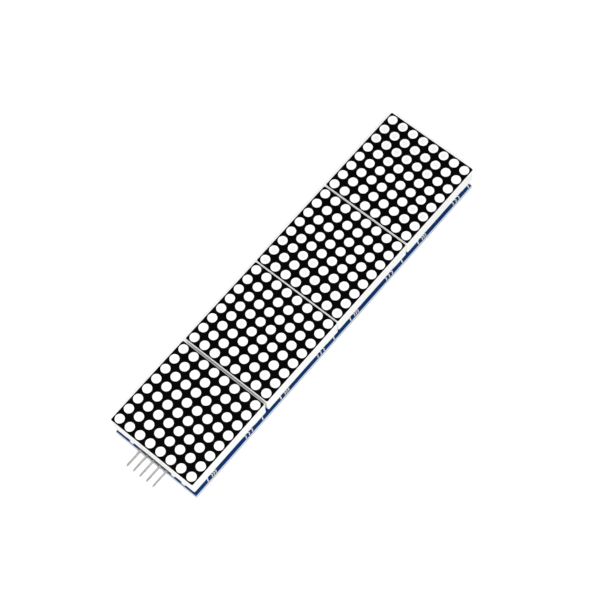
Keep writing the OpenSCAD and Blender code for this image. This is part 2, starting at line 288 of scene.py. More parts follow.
def blend(tree, factor, first, second):
    node = tree.nodes.new("ShaderNodeMix")
    node.data_type = "RGBA"
    feed(tree, factor, node.inputs[0])
    feed(tree, first, node.inputs[6])
    feed(tree, second, node.inputs[7])
    return node.outputs[2]


def soft_step(tree, value, start, end):
    """A mask that is 0 up to start and 1 from end on."""
    node = tree.nodes.new("ShaderNodeMapRange")
    node.interpolation_type = "SMOOTHSTEP"
    feed(tree, value, node.inputs["Value"])
    feed(tree, start, node.inputs["From Min"])
    feed(tree, end, node.inputs["From Max"])
    return node.outputs["Result"]


def noise(tree, vector, scale, detail=2.0):
    node = tree.nodes.new("ShaderNodeTexNoise")
    feed(tree, vector, node.inputs["Vector"])
    feed(tree, scale, node.inputs["Scale"])
    node.inputs["Detail"].default_value = detail
    return node.outputs[0]


def scaled(tree, vector, factor):
    """A vector or a colour times one number."""
    node = tree.nodes.new("ShaderNodeVectorMath")
    node.operation = "SCALE"
    feed(tree, vector, node.inputs[0])
    feed(tree, factor, node.inputs["Scale"])
    return node.outputs[0]


def place_mm(tree):
    """The place on the object, in millimetres."""
    coordinate = tree.nodes.new("ShaderNodeTexCoord")
    return scaled(tree, coordinate.outputs["Object"], 1 / MM)


def axes_of(tree, vector):
    node = tree.nodes.new("ShaderNodeSeparateXYZ")
    feed(tree, vector, node.inputs[0])
    return node.outputs


def new_effect(name, inputs, outputs):
    """Starts a shared shader group with named sockets."""
    tree = bpy.data.node_groups.new(name, "ShaderNodeTree")
    for label, kind in outputs.items():
        tree.interface.new_socket(label, in_out="OUTPUT", socket_type="NodeSocket" + kind)
    for label, kind in inputs.items():
        tree.interface.new_socket(label, in_out="INPUT", socket_type="NodeSocket" + kind)
    start = tree.nodes.new("NodeGroupInput").outputs
    end = tree.nodes.new("NodeGroupOutput").inputs
    return tree, start, end


print("node helpers ready")

# %% [markdown]
# ## Effects that several finishes share
#
# **Moulded grain** is what a steel mould leaves on plastic: a very fine bite, a slow drift in tone
# from the flow of the melt, and a little unevenness in how glossy the skin is.

# %% Moulded grain


def make_grain():
    tree, given, result = new_effect(
        "moulded grain",
        {"Color": "Color", "Grain Per Mm": "Float", "Drift": "Float", "Roughness": "Float"},
        {"Color": "Color", "Roughness": "Float", "Height": "Float"},
    )
    place = place_mm(tree)
    fine = noise(tree, place, given["Grain Per Mm"], 3.0)
    slow = noise(tree, place, 0.13, 1.0)
    darker = sum_node(tree, "SUBTRACT", 1.0, given["Drift"])
    low = scaled(tree, given["Color"], darker)
    feed(tree, blend(tree, slow, given["Color"], low), result["Color"])
    uneven = sum_node(tree, "MULTIPLY", sum_node(tree, "SUBTRACT", slow, 0.5), 0.12)
    feed(tree, sum_node(tree, "ADD", given["Roughness"], uneven), result["Roughness"])
    feed(tree, fine, result["Height"])
    return tree


GRAIN = make_grain()
print(GRAIN.name, "takes", [s.name for s in GRAIN.interface.items_tree if s.in_out == "INPUT"])

# %% [markdown]
# **Dust** settles on what faces up. Small soft specks come from a cell pattern, and only some cells
# get one. A mask from the normal keeps them off walls and undersides.

# %% Dust


def make_dust():
    tree, given, result = new_effect(
        "dust",
        {"Color": "Color", "Dust": "Color", "Specks Per Mm": "Float", "Share": "Float"},
        {"Color": "Color", "Mask": "Float"},
    )
    cells = tree.nodes.new("ShaderNodeTexVoronoi")
    feed(tree, place_mm(tree), cells.inputs["Vector"])
    feed(tree, given["Specks Per Mm"], cells.inputs["Scale"])
    speck = sum_node(tree, "SUBTRACT", 1.0, soft_step(tree, cells.outputs["Distance"], 0.03, 0.11))
    pick = sum_node(tree, "LESS_THAN", axes_of(tree, cells.outputs["Color"])[0], given["Share"])
    normal = tree.nodes.new("ShaderNodeNewGeometry").outputs["Normal"]
    up = soft_step(tree, axes_of(tree, normal)[2], 0.7, 0.95)
    mask = sum_node(tree, "MULTIPLY", sum_node(tree, "MULTIPLY", speck, pick), up)
    feed(tree, blend(tree, mask, given["Color"], given["Dust"]), result["Color"])
    feed(tree, mask, result["Mask"])
    return tree


DUST = make_dust()
print(DUST.name, "ready")

# %% [markdown]
# **Worked metal** serves wire, leads and solder. Drawn and plated metal has faint lines along its
# length and cloudy patches where the tin froze. The lines are noise stretched along one axis, which
# each material chooses.

# %% Worked metal


def make_metal():
    tree, given, result = new_effect(
        "worked metal",
        {"Color": "Color", "Stretch": "Vector", "Clouds Per Mm": "Float", "Roughness": "Float"},
        {"Color": "Color", "Roughness": "Float", "Height": "Float"},
    )
    place = place_mm(tree)
    along = sum_node(tree, "MULTIPLY", place, given["Stretch"], "ShaderNodeVectorMath")
    lines = noise(tree, along, 6.0, 3.0)
    clouds = noise(tree, place, given["Clouds Per Mm"], 2.0)
    dull = scaled(tree, given["Color"], 0.72)
    spread = soft_step(tree, clouds, 0.35, 0.75)
    feed(tree, blend(tree, spread, given["Color"], dull), result["Color"])
    cloudy = sum_node(tree, "MULTIPLY", clouds, 0.18)
    feed(tree, sum_node(tree, "ADD", given["Roughness"], cloudy), result["Roughness"])
    feed(tree, lines, result["Height"])
    return tree


METAL = make_metal()
print(METAL.name, "ready")

# %% [markdown]
# **Glass weave** is the cloth inside a circuit board. It shows through lacquer and on bare laminate
# as a square pattern of fine bundles, about two to the millimetre. Two crossed sine waves give it.

# %% Glass weave


def make_weave():
    tree, given, result = new_effect(
        "glass weave",
        {"Color": "Color", "Bundles Per Mm": "Float", "Tone": "Float"},
        {"Color": "Color", "Height": "Float"},
    )
    place = axes_of(tree, place_mm(tree))
    turns = sum_node(tree, "MULTIPLY", given["Bundles Per Mm"], math.pi)
    waves = [sum_node(tree, "SINE", sum_node(tree, "MULTIPLY", place[i], turns)) for i in (0, 1)]
    both = sum_node(tree, "MULTIPLY", waves[0], waves[1])
    height = sum_node(tree, "ABSOLUTE", both)
    light = scaled(tree, given["Color"], sum_node(tree, "ADD", 1.0, given["Tone"]))
    feed(tree, blend(tree, height, given["Color"], light), result["Color"])
    feed(tree, height, result["Height"])
    return tree


WEAVE = make_weave()
print(WEAVE.name, "ready")

# %% [markdown]
# ## Finishes
#
# Each material starts the same way, from one Principled shader and its plain values. A second
# helper places a shared effect in it, and a third turns a height into a bump of a stated depth.

# %% Start a material


def new_finish(name, roughness, metallic=0.0, specular=0.5):
    material = bpy.data.materials.new(name)
    material.use_nodes = True
    tree = material.node_tree
    tree.nodes.clear()
    out = tree.nodes.new("ShaderNodeOutputMaterial")
    shader = tree.nodes.new("ShaderNodeBsdfPrincipled")
    shader.inputs["Roughness"].default_value = roughness
    shader.inputs["Metallic"].default_value = metallic
    shader.inputs["Specular IOR Level"].default_value = specular
    tree.links.new(shader.outputs[0], out.inputs["Surface"])
    return material, tree, shader


def use_effect(tree, effect, **values):
    node = tree.nodes.new("ShaderNodeGroup")
    node.node_tree = effect
    for label, value in values.items():
        feed(tree, value, node.inputs[label.replace("_", " ")])
    return node.outputs


def add_bump(tree, shader, height, depth):
    node = tree.nodes.new("ShaderNodeBump")
    node.inputs["Distance"].default_value = depth
    feed(tree, height, node.inputs["Height"])
    tree.links.new(node.outputs[0], shader.inputs["Normal"])


def dress(tree, shader, tone, skin, depth, height=None):
    """Feeds a finish: its colour, and the roughness and the bump of its skin effect."""
    feed(tree, tone, shader.inputs["Base Color"])
    feed(tree, skin["Roughness"], shader.inputs["Roughness"])
    add_bump(tree, shader, height or skin["Height"], depth)


def colour(r, g, b):
    return (r, g, b, 1.0)


print("material helpers ready")

# %% [markdown]
# ### White housing
#
# The housing is moulded in a bright white plastic with a satin skin, so that light from one cavity
# is thrown back out and doesn't leak into the next. Its lower walls are painted a touch greyer, as
# painted shade for the dim depths of the gaps between the displays.

# %% White housing


def make_housing():
    material, tree, shader = new_finish("white housing", 0.42)
    grain = use_effect(tree, GRAIN, Color=colour(0.84, 0.84, 0.83), Grain_Per_Mm=9.0, Drift=0.05,
                       Roughness=0.42)
    # Painted shade: every wall grows a touch greyer towards the board, for the shade in the gaps
    # between displays.
    height = axes_of(tree, place_mm(tree))[2]
    low = sum_node(tree, "SUBTRACT", 1.0, soft_step(tree, height, 4.5, 9.0))
    painted_gap_shade = blend(tree, sum_node(tree, "MULTIPLY", low, 0.10), grain["Color"],
                   colour(0.55, 0.55, 0.54))
    dust = use_effect(tree, DUST, Color=painted_gap_shade, Dust=colour(0.45, 0.44, 0.42), Specks_Per_Mm=0.5,
                      Share=0.05)
    dress(tree, shader, dust["Color"], grain, 0.004 * MM)
    return material


WHITE_HOUSING = make_housing()
print(WHITE_HOUSING.name)

# %% [markdown]
# ### Black face
#
# The face is a printed black layer on the white moulding. It is very dark and nearly matte, so that
# an unlit dot stands out. A little grain and a few specks of dust are all that break it up.

# %% Black face


def make_face():
    material, tree, shader = new_finish("black face", 0.55, specular=0.03)
    grain = use_effect(tree, GRAIN, Color=colour(0.0008, 0.0008, 0.0009), Grain_Per_Mm=14.0,
                       Drift=0.3, Roughness=0.55)
    dust = use_effect(tree, DUST, Color=grain["Color"], Dust=colour(0.02, 0.02, 0.02),
                      Specks_Per_Mm=0.7, Share=0.06)
    dress(tree, shader, dust["Color"], grain, 0.003 * MM)
    return material


BLACK_FACE = make_face()
print(BLACK_FACE.name)

# %% [markdown]
# ### Milky resin
#
# Each dot is a cone filled with milky resin over a tiny die. Seen from the front, the resin is
# bright at its rim, and a soft rounded square over the middle is painted a little greyer: painted
# shade of the die and the cavity floor under the resin. The pattern repeats with the dots: the place
# is measured from the display's centre and folded into one cell of the grid, so one rule serves all
# 64. How grey the square is varies slowly from dot to dot, as painted reflections that dim some dots.

# %% Milky resin
DIE_SHADE_REACH = 0.98
DIE_SHADE_SOFT = 0.30
REFLECTION_PATCH = 0.23


def make_window():
    """Painted shade: 0 outside and 1 inside the soft square over a dot's middle, and a painted
    reflection that sets how grey each dot is.
    """
    tree, given, result = new_effect(
        "painted dot shade", {"Centre": "Vector", "Pitch": "Float"}, {"Window": "Float", "Painted Reflection": "Float"})
    local = sum_node(tree, "SUBTRACT", place_mm(tree), given["Centre"], "ShaderNodeVectorMath")
    folded = []
    for axis in axes_of(tree, local)[:2]:
        cell = sum_node(tree, "DIVIDE", axis, given["Pitch"])
        share = sum_node(tree, "SUBTRACT", sum_node(tree, "FRACT", cell), 0.5)
        folded.append(sum_node(tree, "MULTIPLY", share, given["Pitch"]))
    # Painted shade: a soft rounded square over each die.
    fourth = [sum_node(tree, "POWER", sum_node(tree, "ABSOLUTE", v), 4.0) for v in folded]
    reach = sum_node(tree, "POWER", sum_node(tree, "ADD", fourth[0], fourth[1]), 0.25)
    edge = soft_step(tree, reach, DIE_SHADE_REACH - DIE_SHADE_SOFT, DIE_SHADE_REACH)
    feed(tree, sum_node(tree, "SUBTRACT", 1.0, edge), result["Window"])
    # Painted reflection: a slow noise per dot makes some dots greyer.
    step = sum_node(tree, "DIVIDE", local, (DOT_STEP / MM,) * 3, "ShaderNodeVectorMath")
    whole = sum_node(tree, "FLOOR", step, kind="ShaderNodeVectorMath")
    moved = sum_node(tree, "ADD", whole, given["Centre"], "ShaderNodeVectorMath")
    patch = noise(tree, moved, REFLECTION_PATCH, 1.0)
    feed(tree, soft_step(tree, patch, 0.40, 0.62), result["Painted Reflection"])
    return tree


DIE_SHADE_EFFECT = make_window()


def make_resin(n):
    material, tree, shader = new_finish(f"milky resin {n}", 0.28)
    centre = (CENTRES[n].x / MM, CENTRES[n].y / MM, 0.0)
    dots = use_effect(tree, DIE_SHADE_EFFECT, Centre=centre, Pitch=DOT_STEP / MM)
    grain = use_effect(tree, GRAIN, Color=colour(0.86, 0.86, 0.855), Grain_Per_Mm=5.0, Drift=0.02,
                       Roughness=0.28)
    # How deep the painted shade over the die is, set per dot by the painted reflection.
    depth = sum_node(tree, "ADD", 0.25, sum_node(tree, "MULTIPLY", dots["Painted Reflection"], 0.75))
    shade = sum_node(tree, "MULTIPLY", dots["Window"], depth)
    tone = blend(tree, shade, grain["Color"], colour(0.74, 0.74, 0.74))
    dress(tree, shader, tone, grain, 0.003 * MM)
    return material


RESIN = {n: make_resin(n) for n in SECTIONS}
print([m.name for m in RESIN.values()])

# %% [markdown]
# ### Circuit board
#
# A board is glass cloth in epoxy, with copper on both faces and a blue lacquer over it. The lacquer
# stops a little short of the cut ends, where the bare laminate shows as a pale rim, and the cut
# edges are bare too. The walls of the holes are plated. The normal tells walls from faces, and the
# distance from the board's centre tells the outer edge from a hole.

# %% Circuit board
BARE_END = 0.20
BARE_SIDE = 0.12
# The laminate tone is darker than pale bare laminate: partly the rim's own colour, partly painted
# shade for the cut edges.
LAMINATE_AND_EDGE_SHADE = colour(0.50, 0.55, 0.58)
LACQUER = colour(0.0008, 0.026, 0.130)
OVER_COPPER = colour(0.0035, 0.055, 0.19)
TIN = colour(0.60, 0.60, 0.58)


def bare_rim(tree):
    """1 on the pale rim and the cut edges of the board, 0 further in."""
    place = axes_of(tree, place_mm(tree))
    wobble = sum_node(tree, "MULTIPLY", noise(tree, place_mm(tree), 1.4, 2.0), 0.05)
    masks = []
    for axis, half, bare in ((0, BOARD_SIZE.x / 2, BARE_END), (1, BOARD_SIZE.y / 2, BARE_SIDE)):
        out = sum_node(tree, "ADD", sum_node(tree, "ABSOLUTE", place[axis]), wobble)
        start = half / MM - bare
        masks.append(soft_step(tree, out, start, start + 0.05))
    return sum_node(tree, "MAXIMUM", masks[0], masks[1])


def make_board():
    material, tree, shader = new_finish("lacquered board", 0.30, specular=0.2)
    weave = use_effect(tree, WEAVE, Color=LACQUER, Bundles_Per_Mm=2.0, Tone=0.10)
    grain = use_effect(tree, GRAIN, Color=weave["Color"], Grain_Per_Mm=3.0, Drift=0.25,
                       Roughness=0.30)
    bare = use_effect(tree, WEAVE, Color=LAMINATE_AND_EDGE_SHADE, Bundles_Per_Mm=2.0, Tone=0.12)
    rim = bare_rim(tree)
    normal = tree.nodes.new("ShaderNodeNewGeometry").outputs["Normal"]
    upright = sum_node(tree, "ABSOLUTE", axes_of(tree, normal)[2])
    wall = sum_node(tree, "SUBTRACT", 1.0, soft_step(tree, upright, 0.3, 0.6))
    plated = sum_node(tree, "MULTIPLY", wall, sum_node(tree, "SUBTRACT", 1.0, rim))
    tone = blend(tree, plated, blend(tree, rim, grain["Color"], bare["Color"]), TIN)
    feed(tree, tone, shader.inputs["Base Color"])
    feed(tree, plated, shader.inputs["Metallic"])
    dull = sum_node(tree, "MULTIPLY", rim, 0.4)
    feed(tree, sum_node(tree, "ADD", grain["Roughness"], dull), shader.inputs["Roughness"])
    both = sum_node(tree, "ADD", weave["Height"], grain["Height"])
    add_bump(tree, shader, both, 0.006 * MM)
    return material


def make_copper_lacquer():
    """Lacquer over copper, where the blue is lighter than over bare laminate."""
    material, tree, shader = new_finish("lacquer over copper", 0.28, specular=0.2)
    grain = use_effect(tree, GRAIN, Color=OVER_COPPER, Grain_Per_Mm=4.0, Drift=0.2, Roughness=0.28)
    dress(tree, shader, grain["Color"], grain, 0.004 * MM)
    return material


def make_inner_board():
    material, tree, shader = new_finish("bare laminate", 0.6)
    weave = use_effect(tree, WEAVE, Color=colour(0.50, 0.46, 0.28), Bundles_Per_Mm=2.0, Tone=0.18)
    grain = use_effect(tree, GRAIN, Color=weave["Color"], Grain_Per_Mm=6.0, Drift=0.15,
                       Roughness=0.6)
    dress(tree, shader, grain["Color"], grain, 0.01 * MM, weave["Height"])
    return material


BLUE_BOARD = make_board()
COPPER_LACQUER = make_copper_lacquer()
INNER_BOARD = make_inner_board()
print(BLUE_BOARD.name, COPPER_LACQUER.name, INNER_BOARD.name, sep=", ")

# %% [markdown]
# ### Small mouldings, ceramics and print
#
# The header, the sockets and the chips are black, but not the same black: nylon is a little glossy,
# and a chip's epoxy is grey and rough from the fine sand in it. One maker with different values
# serves them all, and the ceramic parts and the white print too.

# %% Moulded, fired and printed finishes


def make_moulded(name, base, roughness, grain_per_mm, depth, drift=0.2, specular=0.5):
    material, tree, shader = new_finish(name, roughness, specular=specular)
    grain = use_effect(tree, GRAIN, Color=base, Grain_Per_Mm=grain_per_mm, Drift=drift,
                       Roughness=roughness)
    dust = use_effect(tree, DUST, Color=grain["Color"], Dust=colour(0.16, 0.16, 0.15),
                      Specks_Per_Mm=0.9, Share=0.08)
    dress(tree, shader, dust["Color"], grain, depth * MM)
    return material


BLACK_NYLON = make_moulded("black nylon", colour(0.006, 0.006, 0.007), 0.38, 11.0, 0.006,
                           specular=0.12)
SOCKET_BLACK = make_moulded("socket moulding", colour(0.012, 0.012, 0.013), 0.42, 12.0, 0.006)
CHIP_EPOXY = make_moulded("chip epoxy", colour(0.020, 0.020, 0.021), 0.62, 16.0, 0.012)
TAN_CERAMIC = make_moulded("tan ceramic", colour(0.34, 0.20, 0.10), 0.55, 8.0, 0.005)
BLACK_GLAZE = make_moulded("black glaze", colour(0.013, 0.013, 0.015), 0.25, 6.0, 0.002)
WHITE_PRINT = make_moulded("white print", colour(0.80, 0.80, 0.79), 0.6, 18.0, 0.004, drift=0.1)
print("six finishes from one maker")

# %% [markdown]
# ### Metals
#
# The wire of the header is drawn along X and bent, the display pins and the turned contacts run
# along Z, and the chip leads are stamped. Solder has no direction, so its clouds do the work.

# %% Metals


def make_metal_finish(name, base, roughness, stretch, clouds_per_mm, depth):
    material, tree, shader = new_finish(name, roughness, metallic=1.0)
    worked = use_effect(tree, METAL, Color=base, Stretch=stretch, Clouds_Per_Mm=clouds_per_mm,
                        Roughness=roughness)
    dress(tree, shader, worked["Color"], worked, depth * MM)
    return material


TINNED_WIRE = make_metal_finish("tinned wire", colour(0.72, 0.72, 0.70), 0.34, (0.3, 4, 4), 1.1, 0.004)
ROUND_PIN = make_metal_finish("round pin", colour(0.68, 0.68, 0.66), 0.26, (4, 4, 0.3), 1.6, 0.003)
CHIP_LEAD = make_metal_finish("chip lead", colour(0.62, 0.63, 0.64), 0.32, (3, 3, 3), 2.4, 0.004)
SOLDER = make_metal_finish("solder", colour(0.60, 0.61, 0.62), 0.22, (1, 1, 1), 1.3, 0.010)
TURNED_BRASS = make_metal_finish("turned brass", colour(0.62, 0.43, 0.15), 0.24, (1, 1, 9), 1.5, 0.003)
GOLD_DIE = make_metal_finish("gold die", colour(0.78, 0.53, 0.18), 0.30, (1, 1, 1), 5.0, 0.002)
TINNED_PAD = make_metal_finish("tinned pad", colour(0.60, 0.60, 0.58), 0.28, (1, 1, 1), 1.0, 0.006)
print("seven metals from one maker")

# %% [markdown]
# ## Dress the CAD parts
#
# The record names a material slot for every CAD part. A table from slot to finish is enough to
# dress them all. The resin is the exception, because each display's dots have their own centre.

# %% Dress the CAD parts
FINISH = {
    "board": BLUE_BOARD, "header_moulding": BLACK_NYLON, "header_pin": TINNED_WIRE,
    "solder": SOLDER, "housing": WHITE_HOUSING, "face_film": BLACK_FACE,
    "inner_board": INNER_BOARD, "die": GOLD_DIE, "display_pin": ROUND_PIN,
    "socket_moulding": SOCKET_BLACK, "contact": TURNED_BRASS, "chip_moulding": CHIP_EPOXY,
    "chip_lead": CHIP_LEAD, "capacitor_body": TAN_CERAMIC, "resistor_body": BLACK_GLAZE,
}

for name, part in NODES.items():
    finish = RESIN[int(name[-1])] if SLOT_OF[name] == "resin" else FINISH[SLOT_OF[name]]
    part.data.materials.clear()
    part.data.materials.append(finish)

print(len(NODES), "parts dressed from", len(FINISH) + 1, "slots")

# %% [markdown]
# ### Draft on the display walls
#
# A moulded wall leans in a little towards the open end of the part, so that the part leaves its
# mould. The CAD walls are upright, so each housing gets a copy whose outer skin leans in by DRAFT
# at its foot, the same on all four sides, since the displays are alike. Only points on the outer
# skin move, and they move in proportion to their depth below the face, so every wall stays flat.
# The price is that the seams between the displays open with depth and look a little darker.

# %% Draft on the display walls
DRAFT = 0.12 * MM
SKIN = 0.5 * MM


def lean_in(place, middle, lean):
    """Move one coordinate towards the middle if it lies on the outer skin."""
    out = place - middle
    if abs(out) < HOUSING_W / 2 - SKIN:
        return place
    return place - math.copysign(lean, out)


def make_drafted(n):
    part = NODES[f"housing_{n}"]
    shape = bmesh.new()
    shape.from_mesh(part.data)
    shape.transform(part.matrix_world)
    bmesh.ops.remove_doubles(shape, verts=shape.verts, dist=0.001 * MM)
    low = min(v.co.z for v in shape.verts)
    high = max(v.co.z for v in shape.verts)
    for v in shape.verts:
        share = (high - v.co.z) / (high - low)
        v.co.x = lean_in(v.co.x, CENTRES[n].x, share * DRAFT)
        v.co.y = lean_in(v.co.y, CENTRES[n].y, share * DRAFT)
    bmesh.ops.recalc_face_normals(shape, faces=shape.faces)
    mesh = bpy.data.meshes.new(f"drafted_housing_{n}")
    shape.to_mesh(mesh)
    shape.free()
    mesh.materials.append(WHITE_HOUSING)
    drafted = bpy.data.objects.new(mesh.name, mesh)
    scene.collection.objects.link(drafted)
    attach(drafted, "root")
    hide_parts(part.name)
    return drafted


DRAFTED = [make_drafted(n) for n in SECTIONS]
print([len(o.data.polygons) for o in DRAFTED], "faces in the leaning housings")

# %% [markdown]
# ## Geometry trees for what repeats
#
# The small things on a board repeat by the dozen: rings, pads, strokes of print, lines of copper,
# heaps of solder. Each kind is one geometry tree with its sizes as inputs. A tree is given bare
# points or lines that say where, and it says what. The result is turned into a plain mesh, and the
# tree is taken off again, so a finished piece is nothing but faces.

# %% Run a geometry tree


def new_tree(name, sizes):
    tree = bpy.data.node_groups.new(name, "GeometryNodeTree")
    tree.interface.new_socket("Geometry", in_out="OUTPUT", socket_type="NodeSocketGeometry")
    tree.interface.new_socket("Geometry", in_out="INPUT", socket_type="NodeSocketGeometry")
    for label in sizes:
        tree.interface.new_socket(label, in_out="INPUT", socket_type="NodeSocketFloat")
    tree.interface.new_socket("Material", in_out="INPUT", socket_type="NodeSocketMaterial")
    given = tree.nodes.new("NodeGroupInput").outputs
    return tree, given


def close_tree(tree, given, geometry):
    """Ends a tree in Realize Instances and Set Material."""
    real = tree.nodes.new("GeometryNodeRealizeInstances")
    paint = tree.nodes.new("GeometryNodeSetMaterial")
    out = tree.nodes.new("NodeGroupOutput")
    tree.links.new(geometry, real.inputs[0])
    tree.links.new(real.outputs[0], paint.inputs["Geometry"])
    tree.links.new(given["Material"], paint.inputs["Material"])
    tree.links.new(paint.outputs[0], out.inputs[0])


def on_points(tree, given, shape):
    """One copy of a shape on each given point."""
    node = tree.nodes.new("GeometryNodeInstanceOnPoints")
    tree.links.new(given["Geometry"], node.inputs["Points"])
    tree.links.new(shape, node.inputs["Instance"])
    return node.outputs[0]


def grow(name, start, tree, slot, material, **sizes):
    """Runs a tree on a mesh of points or lines and keeps the result as a plain piece."""
    seed = bpy.data.objects.new(name + " seed", start)
    scene.collection.objects.link(seed)
    run = seed.modifiers.new("tree", "NODES")
    run.node_group = tree
    values = {label.replace("_", " "): value for label, value in sizes.items()}
    values["Material"] = material
    for socket in tree.interface.items_tree:
        if socket.in_out == "INPUT" and socket.name in values:
            run[socket.identifier] = values[socket.name]
    done = seed.evaluated_get(bpy.context.evaluated_depsgraph_get())
    mesh = bpy.data.meshes.new_from_object(done)
    bpy.data.objects.remove(seed)
    return add_piece(name, mesh)


def add_piece(name, mesh):
    mesh.name = name
    piece = bpy.data.objects.new(name, mesh)
    scene.collection.objects.link(piece)
    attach(piece, "root")
    low = [min(v.co[i] for v in mesh.vertices) / MM for i in range(3)]
    high = [max(v.co[i] for v in mesh.vertices) / MM for i in range(3)]
    print(f"{name}: {len(mesh.loop_triangles)} triangles, from", [round(v, 2) for v in low],
          "to", [round(v, 2) for v in high])
    return piece


def points_mesh(places):
    mesh = bpy.data.meshes.new("points")
    mesh.from_pydata([tuple(p) for p in places], [], [])
    return mesh


def lines_mesh(paths, z):
    """Open or closed paths in the plane, as edges at one height."""
    mesh = bpy.data.meshes.new("lines")
    spots, edges = [], []
    for path in paths:
        first = len(spots)
        spots += [(x, y, z) for x, y in path]
        edges += [(i, i + 1) for i in range(first, len(spots) - 1)]
    mesh.from_pydata(spots, edges, [])
    return mesh


print("tree helpers ready")

# %% [markdown]
# ### Three trees
#
# A **ring** is a circle swept with a small rectangle. A **stroke** is a given line swept the same
# way. A **heap** is a low cone whose sides are pulled in, the way solder climbs a lead.

# %% Ring, stroke and heap


def rectangle(tree, width, height):
    node = tree.nodes.new("GeometryNodeCurvePrimitiveQuadrilateral")
    feed(tree, width, node.inputs["Width"])
    feed(tree, height, node.inputs["Height"])
    return node.outputs[0]


def sweep(tree, path, profile):
    level = tree.nodes.new("GeometryNodeSetCurveNormal")
    level.mode = "Z_UP"
    node = tree.nodes.new("GeometryNodeCurveToMesh")
    tree.links.new(path, level.inputs[0])
    tree.links.new(level.outputs[0], node.inputs["Curve"])
    tree.links.new(profile, node.inputs["Profile Curve"])
    node.inputs["Fill Caps"].default_value = True
    return node.outputs[0]


def make_ring_tree():
    tree, given = new_tree("ring", ["Inner Diameter", "Outer Diameter", "Thickness", "Sides"])
    circle = tree.nodes.new("GeometryNodeCurvePrimitiveCircle")
    both = sum_node(tree, "ADD", given["Inner Diameter"], given["Outer Diameter"])
    width = sum_node(tree, "SUBTRACT", given["Outer Diameter"], given["Inner Diameter"])
    feed(tree, given["Sides"], circle.inputs["Resolution"])
    feed(tree, sum_node(tree, "DIVIDE", both, 4.0), circle.inputs["Radius"])
    half = sum_node(tree, "DIVIDE", width, 2.0)
    ring = sweep(tree, circle.outputs[0], rectangle(tree, half, given["Thickness"]))
    close_tree(tree, given, on_points(tree, given, ring))
    return tree


def make_stroke_tree():
    tree, given = new_tree("stroke", ["Width", "Thickness"])
    path = tree.nodes.new("GeometryNodeMeshToCurve")
    tree.links.new(given["Geometry"], path.inputs[0])
    stroke = sweep(tree, path.outputs[0], rectangle(tree, given["Width"], given["Thickness"]))
    close_tree(tree, given, stroke)
    return tree


def make_heap_tree():
    tree, given = new_tree("heap", ["Length", "Width", "Height"])
    cone = tree.nodes.new("GeometryNodeMeshCone")
    cone.inputs["Vertices"].default_value = 12
    cone.inputs["Side Segments"].default_value = 4
    cone.inputs["Radius Top"].default_value = 0.35
    cone.inputs["Radius Bottom"].default_value = 0.5
    cone.inputs["Depth"].default_value = 1.0
    place = tree.nodes.new("GeometryNodeInputPosition").outputs[0]
    up = axes_of(tree, place)[2]
    pull = sum_node(tree, "SUBTRACT", 1.0, sum_node(tree, "MULTIPLY", up, 1.4))
    waist = sum_node(tree, "ADD", 0.45, sum_node(tree, "MULTIPLY", 0.55, sum_node(
        tree, "POWER", sum_node(tree, "MAXIMUM", pull, 0.0), 2.0)))
    size = tree.nodes.new("ShaderNodeCombineXYZ")
    feed(tree, sum_node(tree, "MULTIPLY", given["Width"], waist), size.inputs[0])
    feed(tree, sum_node(tree, "MULTIPLY", given["Length"], waist), size.inputs[1])
    feed(tree, given["Height"], size.inputs[2])
    moved = sum_node(tree, "MULTIPLY", place, size.outputs[0], "ShaderNodeVectorMath")
    shape = tree.nodes.new("GeometryNodeSetPosition")
    tree.links.new(cone.outputs["Mesh"], shape.inputs["Geometry"])
    tree.links.new(moved, shape.inputs["Position"])
    close_tree(tree, given, on_points(tree, given, shape.outputs[0]))
    return tree


RING = make_ring_tree()
STROKE = make_stroke_tree()
HEAP = make_heap_tree()
print("trees:", RING.name, STROKE.name, HEAP.name)

# %% [markdown]
# ### Rings round the plated holes
#
# Every plated hole ends in a ring of tinned copper on both faces. Where a contact or a solder joint
# covers the hole, only the rim outside it shows, so the ring starts there.

# %% Rings round the plated holes
COPPER_T = 0.035 * MM
RING_SIDES = 28


def socket_places(z):
    return [
        (CENTRES[n].x + x, CENTRES[n].y + side * ROW_SPAN / 2, z)
        for n in SECTIONS for side in (-1, 1) for x in steps(ROW_PINS, PIN_STEP)
    ]


def header_places(x, z):
    return [(x, HEADER_Y + y, z) for y in steps(HEADER_PINS, HEADER_STEP)]


top_z = BOARD_TOP + COPPER_T / 2
back_z = BOARD_BACK - COPPER_T / 2
grow("socket_rings_top", points_mesh(socket_places(top_z)), RING, "contact", TINNED_PAD,
     Inner_Diameter=CONTACT_D, Outer_Diameter=1.7 * MM, Thickness=COPPER_T, Sides=RING_SIDES)
grow("joint_rings_back", points_mesh(socket_places(back_z) + header_places(HEADER_X, back_z)),
     RING, "contact", TINNED_PAD,
     Inner_Diameter=SOLDER_D, Outer_Diameter=2.0 * MM, Thickness=COPPER_T, Sides=RING_SIDES)
grow("output_rings",
     points_mesh([p for z in (top_z, back_z) for p in header_places(-HEADER_X, z)]),
     RING, "contact", TINNED_PAD,
     Inner_Diameter=1.0 * MM, Outer_Diameter=1.8 * MM, Thickness=COPPER_T, Sides=RING_SIDES)

# %% [markdown]
# ### Copper lines
#
# Under the lacquer the copper stands a hair proud, and shows as lighter lines with 45 degree bends.
# Two broad lines carry power the whole length, three fine ones hand the signals from section to
# section, and each socket pin has a line of its own that ends at a via, a small plated hole.

# %% Copper lines
LINE_T = 0.03 * MM
RAIL_Y = [-9.6 * MM, 9.6 * MM]
END_X = -HEADER_X - 2.4 * MM


